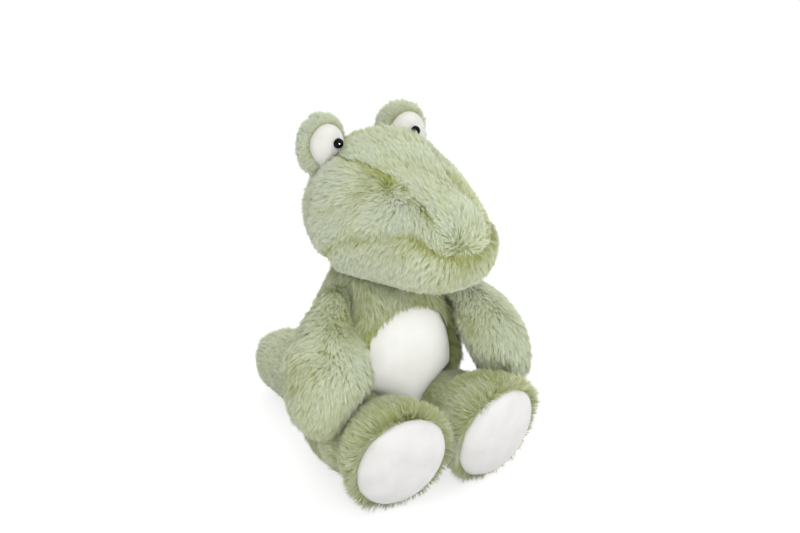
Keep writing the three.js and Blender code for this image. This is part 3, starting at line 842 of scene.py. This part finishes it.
def strandPiece(name, strands):  # a quad and a triangle for each strand
    count, corners, wide = strands.count, bladeLook["corners"], bladeLook["mapWidth"]
    mesh = bpy.data.meshes.new(name)
    mesh.vertices.add(count * corners)
    mesh.vertices.foreach_set("co", strands.blades.astype(np.float32).ravel())
    order = np.arange(count)[:, None] * corners + np.array([[0, 1, 2, 3, 3, 2, 4]])
    loops = order.shape[1]
    mesh.loops.add(count * loops)
    mesh.loops.foreach_set("vertex_index", order.astype(np.int32).ravel())
    starts = np.arange(count)[:, None] * loops + np.array([[0, 4]])
    mesh.polygons.add(count * 2)
    mesh.polygons.foreach_set("loop_start", starts.astype(np.int32).ravel())
    mesh.update(calc_edges=True)
    dress(mesh, longPile)

    # the map: a narrow strip at the shade of the strand, from its root place to the tip
    spots = np.empty((count, loops, 2), np.float32)
    spots[:, :, 0] = strands.shade[:, None] + np.array([0, wide, wide, 0, 0, wide, wide / 2])
    spots[:, :2, 1] = strands.rootPlace[:, None]
    spots[:, 2:, 1] = np.array([0.5, 0.5, 0.5, 0.5, 0.98])
    layer = mesh.uv_layers.new(name="OFBake")
    layer.data.foreach_set("uv", spots.ravel())
    custom = mesh.attributes.new("custom_normal", "FLOAT_VECTOR", "POINT")
    soft = np.repeat(strands.soft, corners, 0).astype(np.float32)
    custom.data.foreach_set("vector", soft.ravel())
    return addPiece(name, mesh)


def growPile(name, skin, panel, combField, ownLook, part=None):
    look = {**pileLook, **ownLook}
    strands = pickRoots(skin, panel, look, part)
    gatherWisps(strands, look)
    combStrands(strands, combField, look)
    bendStrands(strands, look)
    cutBlades(strands)
    shadeStrands(strands, look)
    piece = strandPiece(name, strands)
    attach(piece, skin.body)
    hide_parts(panel)
    print(name, strands.count, "strands in", strands.wisps, "wisps")


# head: a soft parting on the right cheek, and a star round the front of the mouth
headComb = {
    "parting": (-30, -57, 239), "partingSize": 26, "partingWander": 11,
    "star": (0, -114, 206), "starReach": 22, "starShare": 0.55,
}
ruffleSpots = [(headComb["parting"], 15, 0.65), (headComb["star"], 16, 0.5)]  # place, reach, strength
eyeSpots = [((36, -2, 250), 15, 0.6), ((0, 0, 268), 24, 0.4)]


def starField(points, flow):  # the flow, spread apart round the star
    star = headComb["star"]
    outwards = away(points + 7 * waves(points, 18, 13), star)
    return blend(flow, outwards, headComb["starShare"] * near(points, star, headComb["starReach"]))


def ruffled(points):
    return strongest(points + 9 * waves(points, 22, 12), ruffleSpots)[:, 0]


def byEyes(points):  # the pile stands up against both white faces
    return 1 - strongest(np.column_stack((np.abs(points[:, 0]), points[:, 1:])), eyeSpots)


def byLeftEye(points):  # and is longer in front of the left one
    return 1 + 0.5 * near(points, (35, -8, 250), 16)[:, 0]


def rightCheekField(points):
    wander = points + headComb["partingWander"] * waves(points, 24, 12)  # an uneven parting
    parting = headComb["parting"]
    spread = smoothStep(gapTo(wander, parting), 3, headComb["partingSize"])
    apart = away(wander, parting) * np.array([0.65, 0.65, 0.4])
    flow = unit(apart * spread + np.array([0, 0.25, -0.75]) * (1 - 0.4 * spread))
    return starField(points, flow * byEyes(points) * (0.7 + 0.3 * spread))


def leftCheekField(points):  # backwards, and lower down more downwards
    drop = smoothStep(252 - points[:, 2], 0, 45)
    return starField(points, np.stack([0 * drop, 0.9 - 0.4 * drop, -drop], -1) * byEyes(points))


def gussetField(points):  # smoothed from the nose over the head, then down behind
    over = unit(away(points, headComb["star"]) + np.array([0, 0.4, 0.1]))
    flow = blend(over, np.array([0, 0.3, -1.0]), smoothStep(points[:, 1:2], 0, 36))
    return starField(points, flow * byEyes(points))


def jawField(points):
    flow = np.stack([points[:, 0] * 0.01, np.full(len(points), 0.35), -np.ones(len(points))], -1)
    return starField(points, flow)


def noseShade(points):  # paler on the nose
    return 0.12 * smoothStep(-points[:, 1], 40, 80)


def chinPaintedShade(points):  # painted shade, deeper in front, under the mouth
    return -0.2 * smoothStep(-points[:, 1], 70, 100)


def underChin(points):  # shorter below, where the head nears the chest
    return 0.6 + 0.4 * smoothStep(points[:, 2], 166, 190)


# the gusset's edge is painted paler, and the right cheek beside it painted darker, as a painted shadow
gussetPile = {"leanRoot": 54, "leanTip": 86, "stray": 0.1, "gather": 0.32, "seamTrim": 0.3, "mouthTrim": 0.2,
              "shade": 0.06, "seamPaintedShade": 0.0, "ridgePaintedShade": -0.15,
              "ruffleAt": ruffled, "lengthAt": byLeftEye, "shadeAt": noseShade}
# the jaw pile is painted paler, painted light for its downward face, with painted shade at the chin
jawPile = {"stray": 0.12, "gather": 0.36, "mouthTrim": 0.35, "shade": 0.16,
           "ruffleAt": ruffled, "lengthAt": underChin, "shadeAt": chinPaintedShade}
rightCheekPile = {"perSquareMm": 5.0, "seamTrim": 0.45, "mouthTrim": 0.0,
                  "shade": 0.2, "seamPaintedShade": 0.3, "ridgePaintedShade": 0.5, "ruffleAt": ruffled}
leftCheekPile = {"length": 7.5, "leanRoot": 54, "leanTip": 86, "seamTrim": 0.4, "mouthTrim": 0.0,
                 "lengthAt": byLeftEye}
growPile("head_gusset_pile", skins["head"], "head_gusset", gussetField, gussetPile)
growPile("jaw_pile", skins["head"], "jaw_panel", jawField, jawPile)
growPile("head_side_pile_right", skins["head"], "head_side_right", rightCheekField, rightCheekPile)
growPile("head_side_pile_left", skins["head"], "head_side_left", leftCheekField, leftCheekPile)

# eye mounds: shorter pile smoothed back over the rim of the white faces, then down
moundPile = {"perSquareMm": 7, "length": 7.2, "wisp": 9, "gather": 0.42, "leanRoot": 42, "leanTip": 76,
             "stray": 0.16, "rimStand": 0.6, "shade": 0.2, "seamPaintedShade": 0.05, "paleRim": 0.25}


def moundField(side):
    def field(points):
        back = away(points, (side * 38, -6, 262)) + np.array([0, 0.7, -0.1])
        return blend(back, np.array([0, 0.1, -1.0]), smoothStep(points[:, 1:2], 10, 28))
    return field


for side, label in bothSides:
    growPile("eye_mound_pile_" + label, skins["mound_" + label], "eye_mound_" + label,
             moundField(side), moundPile)

# body, in four quarters, and tail
bodyPile = {"length": 10, "leanRoot": 38, "leanTip": 74, "seamTrim": 0.1, "shade": -0.17}
bodyFluff = {("front", "left"): 0.5, ("back", "right"): 0.5}  # quarters whose pile stands up in narrow gaps


def bodyField(points):  # down, and in over the right edge of the belly
    return np.array([0, 0.05, -1.0]) + near(points, (-47, -50, 98), 24) * np.array([1.0, 0, 0.2])


def quarter(side, front):
    def inside(points):
        return (points[:, 0] * side > 0) & (points[:, 1] * front <= 0)
    return inside


def tailField(points):  # backwards, then down over the end
    return blend(np.array([0, 1, -0.15]), np.array([0, 0.2, -1.0]), smoothStep(points[:, 1:2], 135, 165))


def tailLength(points):  # longer on top
    return 0.8 + 0.5 * smoothStep(points[:, 2], 30, 60)


# the tail is painted paler: painted light where the lamps in front reach it less
tailPile = {"shade": 0.08, "lengthAt": tailLength}
for side, label in bothSides:
    for front, place in [(1, "front"), (-1, "back")]:
        growPile("body_pile_" + place + "_" + label, skins["body"], "body_cover", bodyField,
                 {**bodyPile, "fluff": bodyFluff.get((place, label), 0)}, quarter(side, front))
    growPile("tail_pile_" + label, skins["tail"], "tail_" + label, tailField, tailPile)

# arms: a parting in front, then down to the hand
armComb = {"parting": (78, -52, 119), "reach": 24, "standReach": 9, "ruffleReach": 13}
# paler on the left arm and a touch darker on the right: painted light where the lamps reach the left arm less
armPaintedLight = {"left": 0.14, "right": -0.03}
armFluff = {("inner", "left"): 0.5}


def armParting(side):
    x, y, z = armComb["parting"]
    return (side * x, y, z)


def armField(side):
    parting = armParting(side)

    def field(points):
        wander = points + 6 * waves(points, 24, 15)
        gap = gapTo(wander, parting)
        apart = 0.8 * bell(gap, armComb["reach"]) * away(wander, parting)
        flow = unit(np.array([side * 0.15, 0.1, -1.0]) + apart)
        return flow * (1 - 0.4 * bell(gap, armComb["standReach"]))
    return field


def armRuffle(side):
    parting = armParting(side)

    def ruffle(points):
        return 0.6 * near(points + 8 * waves(points, 20, 15), parting, armComb["ruffleReach"])[:, 0]
    return ruffle


def armLength(side):  # short on the shoulder, long at the tip of the left hand
    def length(points):
        shoulder = 0.55 + 0.45 * smoothStep(160 - points[:, 2], 0, 40)
        return shoulder + 0.35 * (side > 0) * smoothStep(95 - points[:, 2], 0, 20)
    return length


for side, label in bothSides:
    armPile = {"shade": armPaintedLight[label], "ruffleAt": armRuffle(side), "lengthAt": armLength(side)}
    for face in ("outer", "inner"):
        growPile("arm_" + face + "_pile_" + label, skins["arm_" + label], "arm_" + face + "_" + label,
                 armField(side), {**armPile, "fluff": armFluff.get((face, label), 0)})


def facing(node):  # the middle of a white panel in mm, its right and its up
    points, faces = nodeTriangles([node])
    a, b, c = (points[faces[:, i]] for i in range(3))
    areas = np.cross(b - a, c - a)
    ahead = unit(areas[unit(areas)[:, 1] < -0.8].sum(0))  # the mean of what looks forwards
    right = unit(np.cross(np.array([0, 0, 1.0]), -ahead))
    low, high = (np.array(corner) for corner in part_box(node))
    return (low + high) / 2 / mm, right, np.cross(ahead, right)


# legs: smoothed back over the top, standing and paler round the sole
legPile = {"perSquareMm": 3.85, "gather": 0.36, "press": 0.2, "seamBare": 2.4,
           "shade": -0.17, "seamPaintedShade": -0.15, "paleRim": 0.45}
legComb = {"out": 43, "up": 40, "rimDepth": (1, 13), "rim": 0.58}  # mm, and the share combed forwards there


def legField(side, label):
    middle, right, up = facing("sole_" + label)
    ahead = np.cross(right, up)

    def field(points):
        behind = smoothStep(-(points - middle) @ ahead, *legComb["rimDepth"])[:, None]
        x, z = points[:, 0] - side * legComb["out"], points[:, 2] - legComb["up"]
        back = np.stack([x * 0.006, np.full(len(points), 0.9), z * 0.004], -1)
        return blend(back, ahead, legComb["rim"] * (1 - behind))
    return field


for side, label in bothSides:
    growPile("leg_pile_" + label, skins["leg_" + label], "leg_cover_" + label, legField(side, label), legPile)
print("pile made")

# white pads, drawn over their windows on the ground, with lengths in mm; a fullness of 2 is an ellipse
padForm = {"rings": 22, "around": 88, "tuck": 3.5, "lookFrom": 80, "smoothing": 6}
bellyPad = {"centre": (3, 0, 98), "halfWidth": 45.3, "halfHeight": 46, "lift": 1.0, "fullness": 2.0}
solePad = {"halfWidth": 40.8, "halfHeight": 44.5, "lift": 1.2, "fullness": 2.15}
eyePad = {"out": 38, "up": 262, "halfWidth": 16.8, "halfHeight": 19, "lift": 1.0, "fullness": 2.0}
leftEyeWider = {"inwards": 2.5, "halfWidth": 2.0}


def padFaces(rings, around):  # a fan in the middle, then rings
    faces = []
    for step in range(around):
        following = (step + 1) % around
        faces.append((0, 1 + step, 1 + following))
        for ring in range(1, rings):
            low, high = 1 + (ring - 1) * around, 1 + ring * around
            faces.append((low + step, high + step, high + following, low + following))
    return faces


def makePad(name, node, skin, material, pad, right=(1, 0, 0), up=(0, 0, 1)):
    centre, right, up = (np.array(vector, float) for vector in (pad["centre"], right, up))
    ahead = np.cross(right, up)
    tree = treeOf(skin.outer, skin.faces)
    rings, around, fullness = padForm["rings"], padForm["around"], pad["fullness"]
    points = []
    for ring in range(rings + 1):
        share = ring / rings
        rise = pad["lift"] * (1 - share ** 4) - padForm["tuck"] * share ** 6  # the edge is tucked in
        for step in range(around if ring else 1):
            angle = 2 * math.pi * step / around
            wide, high = math.cos(angle), math.sin(angle)
            full = share * (abs(wide) ** fullness + abs(high) ** fullness) ** (-1 / fullness)
            flat = centre + right * (pad["halfWidth"] * full * wide) + up * (pad["halfHeight"] * full * high)
            hit = tree.ray_cast(Vector((flat + ahead * padForm["lookFrom"]) * mm), Vector(-ahead))
            if hit[0] is None:
                hit = tree.find_nearest(Vector(flat * mm))
            points.append(np.array(hit[0]) + np.array(hit[1]) * rise * mm)
    piece = newPiece(name, points, padFaces(rings, around))
    dress(piece.data, material)
    relax = piece.modifiers.new("relax", "SMOOTH")
    relax.factor = 0.5
    relax.iterations = padForm["smoothing"]
    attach(piece, skin.body)
    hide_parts(node)


makePad("belly_pad", "belly_panel", skins["body"], bellyWhitePaintedLight, bellyPad)
for side, label in bothSides:
    middle, right, up = facing("sole_" + label)
    makePad("sole_pad_" + label, "sole_" + label, skins["leg_" + label], shortPile,
            {**solePad, "centre": middle}, right, up)
    out, halfWidth = eyePad["out"], eyePad["halfWidth"]
    if label == "left":
        out, halfWidth = out - leftEyeWider["inwards"], halfWidth + leftEyeWider["halfWidth"]
    makePad("eye_face_pad_" + label, "eye_face_" + label, skins["mound_" + label], eyeWhite,
            {**eyePad, "centre": (side * out, 0, eyePad["up"]), "halfWidth": halfWidth})
print("white pads made")

# safety eyes: a dome over a short rim, closed behind, with lengths in mm
eyeForm = {
    "steps": 14, "around": 40,
    "front": 3.7, "height": 3.9,
    "rim": (0.1, 0.35), "foot": (-0.5, 1.0),  # wider than the dome, and how far behind it
}


def makeEye(name, node):
    low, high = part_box(node)
    centre = (low + high) / 2
    radius = (high.x - low.x) / 2
    front = low.y + eyeForm["front"] * mm
    profile = [(radius * math.sin(t), front - eyeForm["height"] * mm * math.cos(t))
               for t in np.linspace(0, math.pi / 2, eyeForm["steps"])]
    for wider, depth in (eyeForm["rim"], eyeForm["foot"]):
        profile.append((radius + wider * mm, front + depth * mm))
    profile.append((0.0, profile[-1][1]))
    points, faces, around = [], [], eyeForm["around"]
    for reach, place in profile:
        for step in range(around):
            angle = 2 * math.pi * step / around
            points.append((centre.x + reach * math.cos(angle), place, centre.z + reach * math.sin(angle)))
    for ring in range(len(profile) - 1):
        for step in range(around):
            following = (step + 1) % around
            faces.append((ring * around + step, ring * around + following,
                          (ring + 1) * around + following, (ring + 1) * around + step))
    piece = newPiece(name, points, faces)
    dress(piece.data, eyeBlack)
    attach(piece, "head")
    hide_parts(node)


for side, label in bothSides:
    makeEye("safety_eye_" + label, "eye_bead_" + label)
    washer = frame["nodes"]["eye_washer_" + label]
    washer.data.materials.clear()
    washer.data.materials.append(washerWhite)
print("eyes made")
